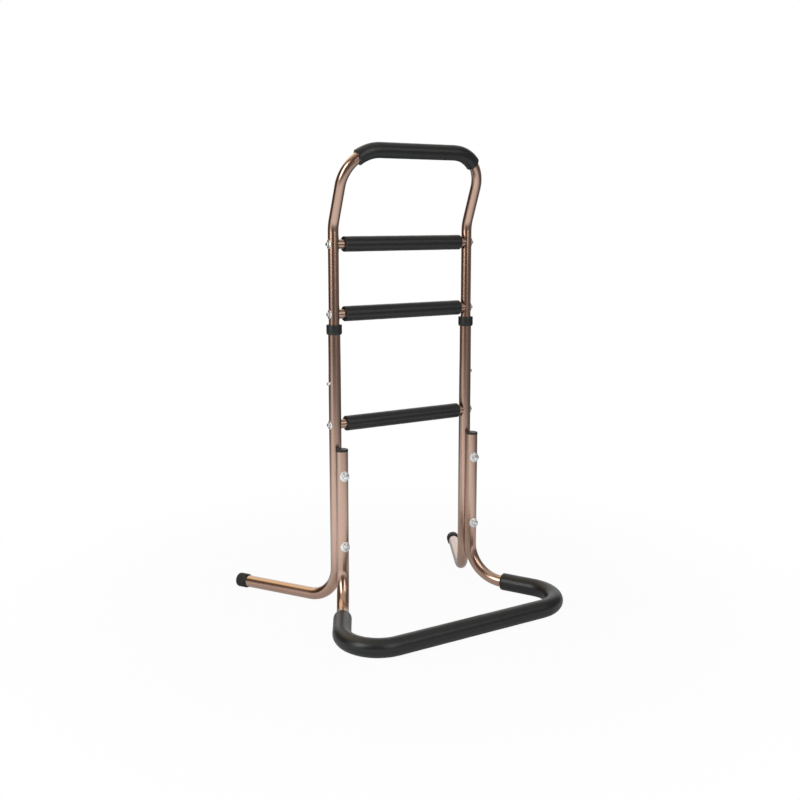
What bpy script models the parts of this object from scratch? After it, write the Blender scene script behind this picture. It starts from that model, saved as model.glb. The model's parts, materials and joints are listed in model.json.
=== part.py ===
"""Free-standing stand-up support rail: a bent tube frame on a splayed base.

An upside-down U of tube carries a padded handle and two padded rungs. Its ends slide in two L-shaped
legs and are held by spring buttons. A third rung joins the legs, and a padded U-shaped base is bolted
to their fronts. Lengths are in metres, +Z is up, the front of the rail faces -Y and the origin is on
the floor under the middle of the rail's footprint.
"""

import math

import bmesh
import bpy
import numpy as np

MM = 0.001

# Tube stock and clearances
UPPER_OD = 22 * MM
BASE_TUBE_OD = 25 * MM
RUNG_OD = 19 * MM
TUBE_WALL = 1.2 * MM
GAP = 0.3 * MM
SLIDE_GAP = 0.3 * MM

# Frame layout: heights are above the floor, reaches are from the plane of the posts
POST_SPACING = 320 * MM
TOP_RUNG_Z = 756 * MM
LOWER_RUNG_Z = 392 * MM
LEG_TOP_Z = 593 * MM
MIDDLE_RUNG_ABOVE_LEG = 24 * MM
KICK_Z = 792 * MM
KICK_RADIUS = 60 * MM
HANDLE_LEAN = math.radians(22)
HANDLE_ARM = 156.5 * MM
HANDLE_CORNER_RADIUS = 74 * MM
FOOT_SPLAY = math.radians(29)
FOOT_SLOPE = math.radians(1.5)
FOOT_REACH = 259.5 * MM
LEG_BEND_RADIUS = 69 * MM
STUB_TOP_Z = 342 * MM
STUB_BEND_RADIUS = 76 * MM
ARM_SPLAY = math.radians(29)
FRONT_REACH = 265 * MM
BASE_CORNER_RADIUS = 70.5 * MM

# Foam sleeves
RUNG_FOAM_WALL = 5.95 * MM
RUNG_FOAM_TO_POST = 8.7 * MM
HANDLE_FOAM_WALL = 4.7 * MM
HANDLE_FOAM_START = math.radians(47)
BASE_FOAM_WALL = 6.2 * MM
BASE_FOAM_START = 2 * MM
FOAM_EDGE = 2 * MM

# Collars, foot caps and stub plugs
COLLAR_WALL = 3 * MM
COLLAR_HEIGHT = 20 * MM
COLLAR_LIP = 3 * MM
COLLAR_EDGE = 1.2 * MM
CAP_WALL = 2.2 * MM
CAP_LENGTH = 26.5 * MM
CAP_END = 3 * MM
CAP_EDGE = 2.5 * MM
CAP_SQUASH = 0.2 * MM
PLUG_HEAD = 4 * MM
PLUG_OVERHANG = 0.3 * MM
PLUG_SPIGOT = 15 * MM
PLUG_EDGE = 1 * MM

# Rung fasteners
RUNG_BOLT_D = 5 * MM
RUNG_BOLT_FLATS = 8 * MM
RUNG_BOLT_HEAD = 3 * MM
RUNG_WASHER_OD = 18 * MM
RUNG_INSERT_LENGTH = 20 * MM
RUNG_INSERT_INSET = 0.5 * MM
RUNG_BOLT_ENGAGEMENT = 15 * MM

# Base clamp fasteners
CLAMP_UPPER_Z = 292 * MM
CLAMP_LOWER_Z = 144 * MM
CLAMP_BOLT_D = 8 * MM
CLAMP_BOLT_FLATS = 13 * MM
CLAMP_BOLT_HEAD = 5.3 * MM
CLAMP_WASHER_OD = 22 * MM
CLAMP_BOLT_ENGAGEMENT = 8 * MM
NUT_OD = 12 * MM
NUT_LENGTH = 10 * MM
SPACER_OD = 13 * MM
SPACER_WEB = 3 * MM
WASHER_THICKNESS = 1.2 * MM
HEAD_CHAMFER = 0.6 * MM

# Spring buttons
BUTTON_Z = 477 * MM
BUTTON_D = 7.6 * MM
BUTTON_PROUD = 4.5 * MM
BUTTON_DOME = 1.8 * MM
BUTTON_DOME_TURN = math.radians(45)
BUTTON_FLANGE_OD = 10 * MM
BUTTON_FLANGE = 1.4 * MM
BUTTON_HOLE_PITCH = 25 * MM
BUTTON_HOLE_COUNT = 4
TUBE_BELOW_BUTTON = 30 * MM
LEAF_THICKNESS = 0.6 * MM
LEAF_WIDTH = 8 * MM
LEAF_ABOVE_BUTTON = 9 * MM
LEAF_BELOW_BUTTON = 7 * MM

# Facets of round pieces and steps of a quarter bend
TUBE_SIDES = 16
SMALL_SIDES = 12
CUT_SIDES = 32
QUARTER_STEPS = 6
WASHER_RINGS = 4
KICK_STEPS = 2
HALF_CORNER_STEPS = 3
BASE_CORNER_STEPS = 5
SHARP_ANGLE = math.radians(40)

# Sizes that follow from the ones above
HALF_SPACING = POST_SPACING / 2
MIDDLE_RUNG_Z = LEG_TOP_Z + MIDDLE_RUNG_ABOVE_LEG
UPPER_R = UPPER_OD / 2
LEG_R = UPPER_R + SLIDE_GAP + TUBE_WALL
BASE_R = BASE_TUBE_OD / 2
RUNG_R = RUNG_OD / 2
RUNG_FOAM_R = RUNG_R + GAP + RUNG_FOAM_WALL
HANDLE_FOAM_R = UPPER_R + GAP + HANDLE_FOAM_WALL
BASE_FOAM_R = BASE_R + GAP + BASE_FOAM_WALL
COLLAR_R = LEG_R + GAP + COLLAR_WALL
CAP_R = LEG_R + GAP + CAP_WALL
STUB_Y = -(LEG_R + SPACER_WEB + BASE_R)
UPPER_BOTTOM_Z = BUTTON_Z - TUBE_BELOW_BUTTON
CAP_END_Z = CAP_R - CAP_SQUASH - CAP_LENGTH * math.sin(FOOT_SLOPE)
HALF_FACET = math.pi / TUBE_SIDES
SIDES = (("left", -1), ("right", 1))

X = np.array([1.0, 0.0, 0.0])
Y = np.array([0.0, 1.0, 0.0])
Z = np.array([0.0, 0.0, 1.0])


def clear_scene():
    for thing in list(bpy.data.objects):
        bpy.data.objects.remove(thing, do_unlink=True)


def finish(name, colour, metallic, roughness):
    """A plain surface material."""
    material = bpy.data.materials.new(name)
    material.use_nodes = True
    shader = material.node_tree.nodes["Principled BSDF"]
    shader.inputs["Base Color"].default_value = (*colour, 1.0)
    shader.inputs["Metallic"].default_value = metallic
    shader.inputs["Roughness"].default_value = roughness
    return material


def unit(vector):
    return vector / np.linalg.norm(vector)


def post_axis(side, z):
    """The point at height z on the axis of the post on one side."""
    return np.array([side * HALF_SPACING, 0.0, z])


def shares(steps):
    """Even shares of a bend, from its start to its end."""
    return np.linspace(0.0, 1.0, steps + 1)


def bent_path(corners, bends):
    """Points and directions of a tube axis: straight runs joined by arcs.

    bends gives, for each inner corner, the arc's radius and the shares of its turn that get a point.
    A radius of zero puts one point on a straight run.
    """
    points = [corners[0]]
    directions = [unit(corners[1] - corners[0])]
    for before, corner, after, bend in zip(corners, corners[1:], corners[2:], bends):
        radius, stops = bend
        enter = unit(corner - before)
        leave = unit(after - corner)
        if radius == 0:
            points.append(corner)
            directions.append(enter)
            continue
        angle = math.acos(enter @ leave)
        start = corner - enter * radius * math.tan(angle / 2)
        inward = unit(leave - enter * (enter @ leave))
        for turn in angle * np.asarray(stops):
            points.append(start + radius * (math.sin(turn) * enter + (1 - math.cos(turn)) * inward))
            directions.append(math.cos(turn) * enter + math.sin(turn) * inward)
    points.append(corners[-1])
    directions.append(unit(corners[-1] - corners[-2]))
    return np.array(points), np.array(directions)


def carry(directions, first):
    """Side vectors carried along a path without twist, from one that is square to its start."""
    carried = [first]
    for before, after in zip(directions, directions[1:]):
        side = carried[-1]
        turn = np.cross(before, after)
        side = side + np.cross(turn, side) + np.cross(turn, np.cross(turn, side)) / (1 + before @ after)
        carried.append(unit(side))
    return np.array(carried)


def ring(centre, axis, side, radius, sides, phase=0.0, hexagonal=False):
    """Points of a polygon round an axis, or of a hexagon of this half width."""
    angles = phase + np.arange(sides) * 2 * math.pi / sides
    radii = np.full(sides, radius)
    if hexagonal:
        radii = radius / np.cos(np.mod(angles, math.pi / 3) - math.pi / 6)
    across = np.cross(axis, side)
    return centre + np.outer(radii * np.cos(angles), side) + np.outer(radii * np.sin(angles), across)


def tube_rings(points, directions, carried, radii, phase=HALF_FACET):
    rows = zip(points, directions, carried, radii)
    return [ring(p, d, s, r, TUBE_SIDES, phase) for p, d, s, r in rows]


def add_object(name, rings, closed, at, parent, material):
    """One object whose skin runs through rings in order, and back to the first when closed.

    A ring of one point is a tip on the axis. at is the object's origin in its parent's frame.
    """
    body = bmesh.new()
    rows = [[body.verts.new(point - at) for point in row] for row in rings]
    pairs = list(zip(rows, rows[1:]))
    if closed:
        pairs.append((rows[-1], rows[0]))
    for row, following in pairs:
        count = max(len(row), len(following))
        for i in range(count):
            j = (i + 1) % count
            corners = [row[i % len(row)], row[j % len(row)]]
            corners += [following[j % len(following)], following[i % len(following)]]
            body.faces.new(list(dict.fromkeys(corners)))
    bmesh.ops.recalc_face_normals(body, faces=body.faces)
    mesh = bpy.data.meshes.new(name)
    body.to_mesh(mesh)
    body.free()
    mesh.shade_smooth()
    mesh.set_sharp_from_angle(angle=SHARP_ANGLE)
    mesh.materials.append(material)
    thing = bpy.data.objects.new(name, mesh)
    thing.location = at
    thing.parent = parent
    bpy.context.scene.collection.objects.link(thing)
    return thing


def add_empty(name, at, parent=None):
    empty = bpy.data.objects.new(name, None)
    empty.location = at
    empty.parent = parent
    bpy.context.scene.collection.objects.link(empty)
    return empty


def turned(name, section, at, axis, side, sides, parent, material, phase=0.0):
    """A turned piece. section lists (distance along the axis, radius) round half of its outline.

    A third entry of "hex" makes that row a hexagon of this half width. A section that starts and ends
    on the axis is solid there, and any other is a ring.
    """
    rings = []
    for along, radius, *form in section:
        centre = at + along * axis
        if radius == 0:
            rings.append([centre])
        else:
            rings.append(ring(centre, axis, side, radius, sides, phase, bool(form)))
    return add_object(name, rings, section[0][1] > 0, at, parent, material)


def rod_cutter(name, centre, axis, side, radius, length, sides, parent, material):
    """A hidden rod that cuts a hole."""
    section = [(-length / 2, 0), (-length / 2, radius), (length / 2, radius), (length / 2, 0)]
    rod = turned(name, section, centre, axis, side, sides, parent, material)
    rod.hide_render = True
    rod.display_type = "WIRE"
    return rod


def cut(piece, cutters):
    for cutter in cutters:
        boolean = piece.modifiers.new(cutter.name, "BOOLEAN")
        boolean.operation = "DIFFERENCE"
        boolean.solver = "EXACT"
        boolean.object = cutter


def sleeve(name, points, directions, carried, bore, outer, parent, material):
    """A foam sleeve along a stretch of tube axis, with softened end edges."""
    flat = math.cos(HALF_FACET)
    rim = FOAM_EDGE * np.array([directions[0], -directions[-1]])
    path = np.vstack([points[:1], points[:1] + rim[0], points[1:-1], points[-1:] + rim[1], points[-1:]])
    first, last = [0, 0], [len(points) - 1] * 2
    picks = first + list(range(1, len(points) - 1)) + last
    radii = np.full(len(picks), outer / flat)
    radii[[0, -1]] -= FOAM_EDGE
    outside = tube_rings(path, directions[picks], carried[picks], radii)
    inside = tube_rings(points, directions, carried, np.full(len(points), bore))
    return add_object(name, outside + inside[::-1], True, points[0], parent, material)


def foot_direction(side):
    level = np.array([side * math.sin(FOOT_SPLAY), math.cos(FOOT_SPLAY), 0.0])
    return level * math.cos(FOOT_SLOPE) - Z * math.sin(FOOT_SLOPE)


def foot_side(side):
    """Level direction square to a foot, which a leg's bend leaves as it is."""
    return np.array([math.cos(FOOT_SPLAY), -side * math.sin(FOOT_SPLAY), 0.0])


def leg_corner(side):
    return post_axis(side, CAP_END_Z + FOOT_REACH * math.sin(FOOT_SLOPE))


def leg_tube(word, side, parent, material):
    tube_end = FOOT_REACH - CAP_END - GAP
    corner = leg_corner(side)
    corners = [post_axis(side, LEG_TOP_Z), corner, corner + foot_direction(side) * tube_end]
    points, directions = bent_path(corners, [(LEG_BEND_RADIUS, shares(QUARTER_STEPS))])
    carried = carry(directions, foot_side(side))
    outside = tube_rings(points, directions, carried, np.full(len(points), LEG_R))
    inside = tube_rings(points, directions, carried, np.full(len(points), LEG_R - TUBE_WALL))
    return add_object(f"{word}_leg_tube", outside + inside[::-1], True, corners[0], parent, material)


def upper_path():
    """The axis of the upper frame tube, from the foot of its left post to the foot of its right one."""
    lean = np.array([0.0, -math.sin(HANDLE_LEAN), math.cos(HANDLE_LEAN)])
    left = [post_axis(-1, UPPER_BOTTOM_Z), post_axis(-1, KICK_Z), post_axis(-1, KICK_Z) + lean * HANDLE_ARM]
    right = [point * (-1, 1, 1) for point in reversed(left)]
    foam_share = HANDLE_FOAM_START / (math.pi / 2)
    half = shares(HALF_CORNER_STEPS)
    rise = np.concatenate([foam_share * half, foam_share + (1 - foam_share) * half[1:]])
    kick = (KICK_RADIUS, shares(KICK_STEPS))
    bends = [kick, (HANDLE_CORNER_RADIUS, rise), (HANDLE_CORNER_RADIUS, 1 - rise[::-1]), kick]
    points, directions = bent_path(left + right, bends)
    return points, directions, carry(directions, foot_side(-1))


def upper_frame(parent, paint, foam):
    points, directions, carried = upper_path()
    outside = tube_rings(points, directions, carried, np.full(len(points), UPPER_R))
    inside = tube_rings(points, directions, carried, np.full(len(points), UPPER_R - TUBE_WALL))
    tube = add_object("upper_frame_tube", outside + inside[::-1], True, points[0], parent, paint)
    first = 1 + len(shares(KICK_STEPS)) + HALF_CORNER_STEPS
    padded = slice(first, len(points) - first)
    stretch = points[padded], directions[padded], carried[padded]
    sleeve("handle_foam", *stretch, UPPER_R + GAP, HANDLE_FOAM_R, parent, foam)
    return tube


def base_path():
    """The axis of the base tube, from the top of its left stub to the top of its right one."""
    arm = np.array([-math.sin(ARM_SPLAY), -math.cos(ARM_SPLAY), 0.0])
    stub_foot = post_axis(-1, BASE_FOAM_R) + STUB_Y * Y
    reach = (FRONT_REACH + STUB_Y) / math.cos(ARM_SPLAY)
    left = [
        stub_foot + Z * (STUB_TOP_Z - BASE_FOAM_R),
        stub_foot,
        stub_foot + arm * (STUB_BEND_RADIUS + BASE_FOAM_START),
        stub_foot + arm * reach,
    ]
    right = [point * (-1, 1, 1) for point in reversed(left)]
    bend = (STUB_BEND_RADIUS, shares(QUARTER_STEPS))
    corner = (BASE_CORNER_RADIUS, shares(BASE_CORNER_STEPS))
    points, directions = bent_path(left + right, [bend, (0, None), corner, corner, (0, None), bend])
    return points, directions, carry(directions, np.array([math.cos(ARM_SPLAY), -math.sin(ARM_SPLAY), 0.0]))


def base(parent, paint, foam):
    points, directions, carried = base_path()
    outside = tube_rings(points, directions, carried, np.full(len(points), BASE_R))
    inside = tube_rings(points, directions, carried, np.full(len(points), BASE_R - TUBE_WALL))
    tube = add_object("base_tube", outside + inside[::-1], True, points[0], parent, paint)
    first = 1 + len(shares(QUARTER_STEPS))
    padded = slice(first, len(points) - first)
    stretch = points[padded], directions[padded], carried[padded]
    sleeve("base_foam", *stretch, BASE_R + GAP, BASE_FOAM_R, parent, foam)
    return tube


def collar(word, side, parent, material):
    """A bush over a leg's mouth, with a lip that guides the upper tube."""
    height, edge = COLLAR_HEIGHT, COLLAR_EDGE
    bottom = post_axis(side, LEG_TOP_Z + GAP + COLLAR_LIP - COLLAR_HEIGHT)
    section = [
        (0, LEG_R + GAP),
        (0, COLLAR_R - edge),
        (edge, COLLAR_R),
        (height - edge, COLLAR_R),
        (height, COLLAR_R - edge),
        (height, UPPER_R + SLIDE_GAP),
        (height - COLLAR_LIP, UPPER_R + SLIDE_GAP),
        (height - COLLAR_LIP, LEG_R + GAP),
    ]
    place = bottom, Z, foot_side(side), TUBE_SIDES, parent, material, HALF_FACET
    turned(f"{word}_leg_collar", section, *place)


def foot_cap(word, side, parent, material):
    """A rubber cup over a foot's end, flattened where it stands on the floor."""
    axis = foot_direction(side)
    mouth = leg_corner(side) + axis * (FOOT_REACH - CAP_LENGTH)
    outer = CAP_R / math.cos(HALF_FACET)
    section = [
        (CAP_LENGTH - CAP_END, 0),
        (CAP_LENGTH - CAP_END, LEG_R + GAP),
        (0, LEG_R + GAP),
        (0, outer),
        (CAP_LENGTH - CAP_EDGE, outer),
        (CAP_LENGTH, outer - CAP_EDGE),
        (CAP_LENGTH, 0),
    ]
    place = mouth, axis, foot_side(side), TUBE_SIDES, parent, material, HALF_FACET
    cap = turned(f"{word}_foot_cap", section, *place)
    for vertex in cap.data.vertices:
        vertex.co.z = max(vertex.co.z, -mouth[2])


def stub_plug(word, side, parent, material):
    """A push-in plug that closes the top of a base stub."""
    top = post_axis(side, STUB_TOP_Z) + STUB_Y * Y
    head = BASE_R + PLUG_OVERHANG
    spigot = BASE_R - TUBE_WALL - GAP
    section = [
        (-PLUG_SPIGOT, 0),
        (-PLUG_SPIGOT, spigot),
        (GAP, spigot),
        (GAP, head),
        (GAP + PLUG_HEAD - PLUG_EDGE, head),
        (GAP + PLUG_HEAD, head - PLUG_EDGE),
        (GAP + PLUG_HEAD, 0),
    ]
    level = np.array([math.cos(ARM_SPLAY), side * math.sin(ARM_SPLAY), 0.0])
    turned(f"{word}_stub_plug", section, top, Z, level, TUBE_SIDES, parent, material, HALF_FACET)


def washer(name, seat, axis, tube_r, bolt_d, outer_d, parent, material):
    """A curved washer: a flat ring bent round an upright tube, so that it lies on the tube at the seat."""
    radii = np.linspace(bolt_d / 2 + GAP, outer_d / 2, WASHER_RINGS)
    section = [(0, radius) for radius in radii] + [(WASHER_THICKNESS, radius) for radius in radii[::-1]]
    ring_piece = turned(name, section, seat, axis, Z, TUBE_SIDES, parent, material)
    inner = tube_r + GAP
    across = np.cross(axis, Z)
    for vertex in ring_piece.data.vertices:
        flat = np.array(vertex.co)
        reach = inner + flat @ axis
        swing = (flat @ across) / (inner + WASHER_THICKNESS / 2)
        bent = axis * (reach * math.cos(swing) - inner) + across * reach * math.sin(swing)
        vertex.co = bent + Z * flat[2]


def hex_bolt(name, seat, axis, side, diameter, flats, head, length, parent, material):
    """A hexagon bolt whose head stands on the seat and whose shank runs along the axis from there."""
    half = flats / 2
    section = [
        (-head, 0),
        (-head, half - HEAD_CHAMFER),
        (HEAD_CHAMFER - head, half, "hex"),
        (0, half, "hex"),
        (0, diameter / 2),
        (length, diameter / 2),
        (length, 0),
    ]
    turned(name, section, seat, axis, side, SMALL_SIDES, parent, material)


def bore_seat(tube_r, face_r):
    """How far from a tube's axis a round face of this radius reaches inside the tube."""
    bore = (tube_r - TUBE_WALL) * math.cos(HALF_FACET)
    return math.sqrt(bore**2 - face_r**2) - GAP


def rung(word, z, post_r, parent, finishes):
    """A padded cross tube, coped to its two posts and bolted to a threaded insert at each end."""
    whole = [
        (-HALF_SPACING, RUNG_R - TUBE_WALL),
        (-HALF_SPACING, RUNG_R),
        (HALF_SPACING, RUNG_R),
        (HALF_SPACING, RUNG_R - TUBE_WALL),
    ]
    middle = Z * z
    tube = turned(f"{word}_rung_tube", whole, middle, X, Z, TUBE_SIDES, parent, finishes["paint"])
    half = HALF_SPACING - post_r - RUNG_FOAM_TO_POST
    padding = [
        (-half, RUNG_R + GAP),
        (-half, RUNG_FOAM_R - FOAM_EDGE),
        (FOAM_EDGE - half, RUNG_FOAM_R),
        (half - FOAM_EDGE, RUNG_FOAM_R),
        (half, RUNG_FOAM_R - FOAM_EDGE),
        (half, RUNG_R + GAP),
    ]
    turned(f"{word}_rung_foam", padding, middle, X, Z, TUBE_SIDES, parent, finishes["foam"])
    for end, side in SIDES:
        name = f"{word}_rung_{end}"
        post = post_axis(side, z)
        cope = post_r + GAP
        cutter_place = post, Z, X, cope, 3 * RUNG_OD, CUT_SIDES, parent, finishes["paint"]
        cut(tube, [rod_cutter(f"{name}_cope", *cutter_place)])
        inward = -side * X
        seat = post - inward * (post_r + GAP)
        size = post_r, RUNG_BOLT_D, RUNG_WASHER_OD
        washer(f"{name}_washer", seat, -inward, *size, parent, finishes["zinc"])
        head_seat = seat - inward * (WASHER_THICKNESS + GAP)
        length = WASHER_THICKNESS + 2 * GAP + 2 * post_r + RUNG_BOLT_ENGAGEMENT
        sizes = RUNG_BOLT_D, RUNG_BOLT_FLATS, RUNG_BOLT_HEAD, length
        hex_bolt(f"{name}_bolt", head_seat, inward, Z, *sizes, parent, finishes["zinc"])
        insert_at = post + inward * (post_r + RUNG_INSERT_INSET)
        insert_r = RUNG_R - TUBE_WALL - GAP
        insert = [
            (0, RUNG_BOLT_D / 2 + GAP),
            (0, insert_r),
            (RUNG_INSERT_LENGTH, insert_r),
            (RUNG_INSERT_LENGTH, RUNG_BOLT_D / 2 + GAP),
        ]
        turned(f"{name}_insert", insert, insert_at, inward, Z, TUBE_SIDES, parent, finishes["plastic"])


def clamp(word, side, z, parent, finishes):
    """Bolt, washer, saddle spacer and a nut inside the leg that hold a base stub to its leg."""
    stub = post_axis(side, z) + STUB_Y * Y
    washer_seat = stub - Y * (BASE_R + GAP)
    size = BASE_R, CLAMP_BOLT_D, CLAMP_WASHER_OD
    washer(f"{word}_clamp_washer", washer_seat, -Y, *size, parent, finishes["zinc"])
    head_seat = washer_seat - Y * (WASHER_THICKNESS + GAP)
    nut_face = post_axis(side, z) - Y * bore_seat(LEG_R, NUT_OD / 2)
    length = (nut_face - head_seat) @ Y + CLAMP_BOLT_ENGAGEMENT
    sizes = CLAMP_BOLT_D, CLAMP_BOLT_FLATS, CLAMP_BOLT_HEAD, length
    hex_bolt(f"{word}_clamp_bolt", head_seat, Y, Z, *sizes, parent, finishes["zinc"])
    bore = CLAMP_BOLT_D / 2 + GAP
    nut = [(0, bore), (0, NUT_OD / 2), (NUT_LENGTH, NUT_OD / 2), (NUT_LENGTH, bore)]
    turned(f"{word}_clamp_nut", nut, nut_face, Y, Z, SMALL_SIDES, parent, finishes["zinc"])
    block = [(0, bore), (0, SPACER_OD / 2), (-STUB_Y, SPACER_OD / 2), (-STUB_Y, bore)]
    spacer = turned(f"{word}_clamp_spacer", block, stub, Y, Z, SMALL_SIDES, parent, finishes["paint"])
    saddles = (("stub", stub, BASE_R), ("leg", post_axis(side, z), LEG_R))
    for tube, centre, radius in saddles:
        place = centre, Z, X, radius + GAP, 3 * SPACER_OD, CUT_SIDES, parent, finishes["paint"]
        cut(spacer, [rod_cutter(f"{word}_saddle_{tube}", *place)])


def clamp_hole(word, side, z, parent, material):
    """A rod through both walls of a base stub and the front wall of its leg."""
    length = BASE_TUBE_OD - STUB_Y
    centre = post_axis(side, z) - Y * length / 2
    place = centre, Y, Z, CLAMP_BOLT_D / 2 + GAP, length, SMALL_SIDES, parent, material
    return rod_cutter(f"{word}_clamp_hole", *place)


def rung_hole(word, side, z, post_r, parent, material):
    """A rod through both walls of a post."""
    place = post_axis(side, z), X, Z, RUNG_BOLT_D / 2 + GAP, 4 * post_r, SMALL_SIDES, parent, material
    return rod_cutter(f"{word}_rung_hole", *place)


def button_hole(word, side, z, post_r, parent, material):
    """A rod through the outer wall of a post."""
    centre = post_axis(side, z) + side * post_r * X
    place = centre, X, Z, BUTTON_D / 2 + GAP, post_r, SMALL_SIDES, parent, material
    return rod_cutter(f"{word}_button_hole", *place)


def snap_button(word, side, parent, material):
    """A flanged button on its own axis, which is also the way that it is pressed."""
    seat = bore_seat(UPPER_R, BUTTON_FLANGE_OD / 2)
    tip = LEG_R + BUTTON_PROUD
    radius = BUTTON_D / 2
    section = [
        (seat - BUTTON_FLANGE, 0),
        (seat - BUTTON_FLANGE, BUTTON_FLANGE_OD / 2),
        (seat, BUTTON_FLANGE_OD / 2),
        (seat, radius),
        (tip - BUTTON_DOME, radius),
        (tip - BUTTON_DOME * (1 - math.sin(BUTTON_DOME_TURN)), radius * math.cos(BUTTON_DOME_TURN)),
        (tip, 0),
    ]
    at = post_axis(side, BUTTON_Z)
    turned(f"{word}_snap_button", section, at, side * X, Z, SMALL_SIDES, parent, material)


def button_spring(word, side, parent, material):
    """A V of spring strip inside the upper tube, from the button to the far wall."""
    near = bore_seat(UPPER_R, BUTTON_FLANGE_OD / 2) - BUTTON_FLANGE - GAP - LEAF_THICKNESS / 2
    bore = (UPPER_R - TUBE_WALL) * math.cos(HALF_FACET)
    far = GAP + LEAF_THICKNESS / 2 - math.sqrt(bore**2 - (LEAF_WIDTH / 2) ** 2)
    top = BUTTON_Z + LEAF_ABOVE_BUTTON
    knee = BUTTON_Z - LEAF_BELOW_BUTTON
    tail = UPPER_BOTTOM_Z + 2 * LEAF_THICKNESS
    outline = [(near, top), (near, knee), ((near + far) / 2, tail), (far, knee), (far, top)]
    points = [post_axis(side, z) + side * out * X for out, z in outline]
    runs = [unit(after - before) for before, after in zip(points, points[1:])]
    rings = []
    for point, before, after in zip(points, runs[:1] + runs, runs + runs[-1:]):
        along = unit(before + after)
        normal = np.cross(along, Y) * LEAF_THICKNESS / 2 / (along @ after)
        width = Y * LEAF_WIDTH / 2
        top_edge, low_edge = point + width, point - width
        rings.append([top_edge + normal, top_edge - normal, low_edge - normal, low_edge + normal])
    ends = [[np.mean(rings[0], axis=0)]], [[np.mean(rings[-1], axis=0)]]
    add_object(f"{word}_button_spring", ends[0] + rings + ends[1], False, points[0], parent, material)


def centre_footprint(posts):
    """Moves the posts so that the middle of the footprint is over the origin."""
    bpy.context.view_layer.update()
    reach = []
    for name in ("base_foam", "left_foot_cap", "right_foot_cap"):
        piece = bpy.data.objects[name]
        reach += [(piece.matrix_world @ vertex.co).y for vertex in piece.data.vertices]
    posts.location.y = -(min(reach) + max(reach)) / 2


def main():
    clear_scene()
    finishes = {
        "paint": finish("bronze_paint", (0.34, 0.22, 0.16), 0.85, 0.3),
        "foam": finish("black_foam", (0.022, 0.022, 0.024), 0.0, 0.85),
        "plastic": finish("black_plastic", (0.016, 0.018, 0.018), 0.0, 0.42),
        "rubber": finish("black_rubber", (0.026, 0.025, 0.025), 0.0, 0.75),
        "zinc": finish("zinc_plate", (0.72, 0.72, 0.70), 1.0, 0.3),
    }
    paint = finishes["paint"]
    posts = add_empty("posts", (0, 0, 0))
    slider = add_empty("upper_frame", (0, 0, 0), posts)

    upper = upper_frame(slider, paint, finishes["foam"])
    base_tube = base(posts, paint, finishes["foam"])
    rung("top", TOP_RUNG_Z, UPPER_R, slider, finishes)
    rung("middle", MIDDLE_RUNG_Z, UPPER_R, slider, finishes)
    rung("lower", LOWER_RUNG_Z, LEG_R, posts, finishes)
    for word, side in SIDES:
        leg = leg_tube(word, side, posts, paint)
        collar(word, side, posts, finishes["plastic"])
        foot_cap(word, side, posts, finishes["rubber"])
        stub_plug(word, side, posts, finishes["plastic"])
        snap_button(word, side, slider, finishes["zinc"])
        button_spring(word, side, slider, finishes["zinc"])
        cut(leg, [rung_hole(f"{word}_lower", side, LOWER_RUNG_Z, LEG_R, posts, paint)])
        for name, z in (("top", TOP_RUNG_Z), ("middle", MIDDLE_RUNG_Z)):
            cut(upper, [rung_hole(f"{word}_{name}", side, z, UPPER_R, slider, paint)])
        cut(upper, [button_hole(f"{word}_upper", side, BUTTON_Z, UPPER_R, slider, paint)])
        for step in range(BUTTON_HOLE_COUNT):
            z = BUTTON_Z + step * BUTTON_HOLE_PITCH
            cut(leg, [button_hole(f"{word}_leg_{step}", side, z, LEG_R, posts, paint)])
        for name, z in (("upper", CLAMP_UPPER_Z), ("lower", CLAMP_LOWER_Z)):
            clamp(f"{word}_{name}", side, z, posts, finishes)
            hole = clamp_hole(f"{word}_{name}", side, z, posts, paint)
            cut(leg, [hole])
            cut(base_tube, [hole])
    centre_footprint(posts)


main()
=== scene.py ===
# %% [markdown]
# # Dressing a padded support rail
# The rail's solids are already made: a bent tube frame, foam sleeves, bolts and caps, each in its real
# place. They are coarse, because they are there to be measured and moved. This lesson loads them as a fixed
# frame and puts a fine surface with a worked-out finish over every piece that shows.

# %% Load the frame
import json
import math

import bmesh
import bpy
import numpy as np
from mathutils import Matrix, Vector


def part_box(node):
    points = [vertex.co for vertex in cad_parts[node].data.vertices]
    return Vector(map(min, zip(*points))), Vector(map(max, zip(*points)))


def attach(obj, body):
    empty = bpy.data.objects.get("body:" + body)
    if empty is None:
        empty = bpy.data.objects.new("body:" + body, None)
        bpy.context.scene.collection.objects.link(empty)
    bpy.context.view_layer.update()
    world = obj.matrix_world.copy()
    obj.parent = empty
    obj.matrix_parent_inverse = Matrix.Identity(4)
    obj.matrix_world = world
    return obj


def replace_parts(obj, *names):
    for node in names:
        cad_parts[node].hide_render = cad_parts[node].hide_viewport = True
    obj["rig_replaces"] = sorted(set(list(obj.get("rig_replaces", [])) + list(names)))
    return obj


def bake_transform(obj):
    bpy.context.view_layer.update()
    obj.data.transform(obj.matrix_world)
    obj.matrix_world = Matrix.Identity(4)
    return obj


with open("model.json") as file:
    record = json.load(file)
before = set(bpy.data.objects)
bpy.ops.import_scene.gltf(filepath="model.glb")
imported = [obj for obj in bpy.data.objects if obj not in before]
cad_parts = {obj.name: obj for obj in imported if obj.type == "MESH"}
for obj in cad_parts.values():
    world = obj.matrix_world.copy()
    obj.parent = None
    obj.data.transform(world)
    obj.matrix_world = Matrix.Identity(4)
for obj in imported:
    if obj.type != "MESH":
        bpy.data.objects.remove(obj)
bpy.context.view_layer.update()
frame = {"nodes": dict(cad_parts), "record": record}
BODY_OF = {node: body for body, nodes in frame["record"]["behaviour"]["bodies"].items() for node in nodes}

# %% [markdown]
# Places are read from the solids, so that each surface lands on the piece that it covers. A box gives the
# middle of a piece and its ends. It can't give a bend's radius or a wall's thickness, so those are written
# where they are used.


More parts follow.
